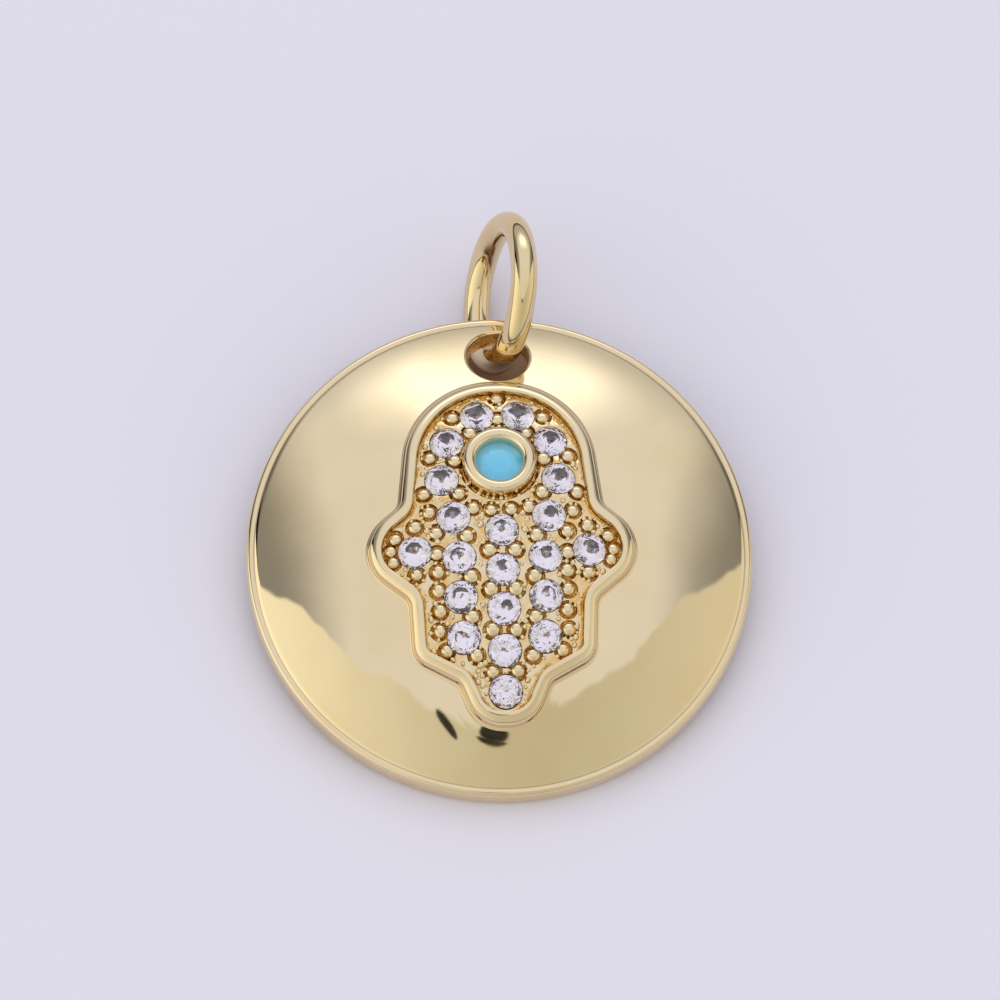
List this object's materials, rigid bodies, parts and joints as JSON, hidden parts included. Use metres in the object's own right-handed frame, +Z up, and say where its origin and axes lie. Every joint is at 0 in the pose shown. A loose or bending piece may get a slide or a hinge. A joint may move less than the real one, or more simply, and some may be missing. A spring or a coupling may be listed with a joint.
{
  "type": "hamsa pendant",
  "caption": "Domed round pendant with a raised hand set with clear stones, a blue eye stone in a bezel, and a jump ring through its hole.",
  "frame": {"origin": "middle of the pendant's box on the table that it lies on", "axes": "+Z up from the table, +Y from the finger tips towards the jump ring, +X to the right of the face seen from above"},
  "size_m": [0.018, 0.0216, 0.0057],
  "materials": {
    "gold_casting": "pale yellow gold plating over a casting, mirror polished on the face",
    "gold_wire": "pale yellow gold plating on round wire, mirror polished",
    "blue_stone": "opaque sky blue stone, faceted with a flat table, glossy",
    "clear_stone": "clear round brilliants with a faint lilac tint"
  },
  "bodies": {
    "root": {"domed_disc": "gold_casting", "jump_ring": "gold_wire", "eye_stone": "blue_stone", "clear_stone_01": "clear_stone", "clear_stone_02": "clear_stone", "clear_stone_03": "clear_stone", "clear_stone_04": "clear_stone", "clear_stone_05": "clear_stone", "clear_stone_06": "clear_stone", "clear_stone_07": "clear_stone", "clear_stone_08": "clear_stone", "clear_stone_09": "clear_stone", "clear_stone_10": "clear_stone", "clear_stone_11": "clear_stone", "clear_stone_12": "clear_stone", "clear_stone_13": "clear_stone", "clear_stone_14": "clear_stone", "clear_stone_15": "clear_stone", "clear_stone_16": "clear_stone", "clear_stone_17": "clear_stone", "clear_stone_18": "clear_stone", "clear_stone_19": "clear_stone", "clear_stone_20": "clear_stone", "clear_stone_21": "clear_stone"}
  },
  "joints": []
}
